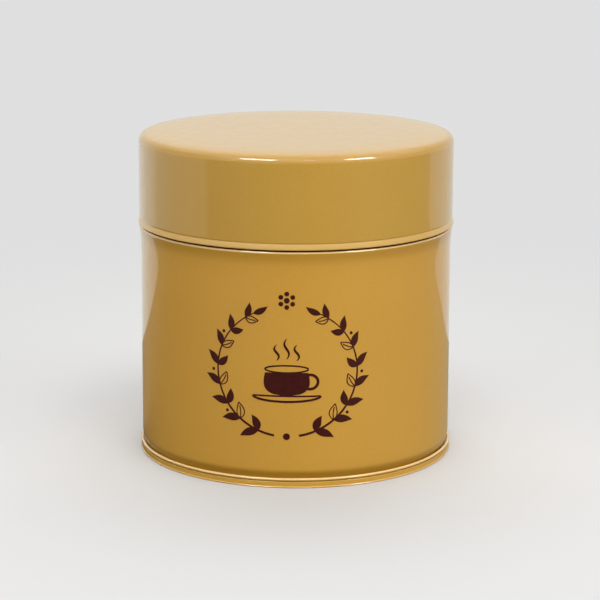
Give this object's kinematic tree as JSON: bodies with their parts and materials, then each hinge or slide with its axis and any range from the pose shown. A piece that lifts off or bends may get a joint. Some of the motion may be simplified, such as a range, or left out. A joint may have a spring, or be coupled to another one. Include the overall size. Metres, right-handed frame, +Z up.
{
  "type": "tin canister",
  "caption": "Round shut tin canister: a slip-on lid with a rolled bead, a straight lacquered wall with a flared rim, and a seamed base with a raised panel.",
  "frame": {"origin": "centre of the foot, on the surface that the tin stands on", "axes": "+Z up along the tin's axis, -Y towards the printed front"},
  "size_m": [0.0858, 0.0858, 0.0875],
  "materials": {
    "body_lacquer": "gloss yellow ochre lacquer on tinplate",
    "lid_lacquer": "gloss yellow ochre lacquer on tinplate",
    "base_lacquer": "gloss yellow ochre lacquer on tinplate",
    "print_ink": "dark red-brown printed ink under clear varnish"
  },
  "bodies": {
    "root": {"body": "body_lacquer", "lid": "lid_lacquer", "base": "base_lacquer"}
  },
  "joints": []
}
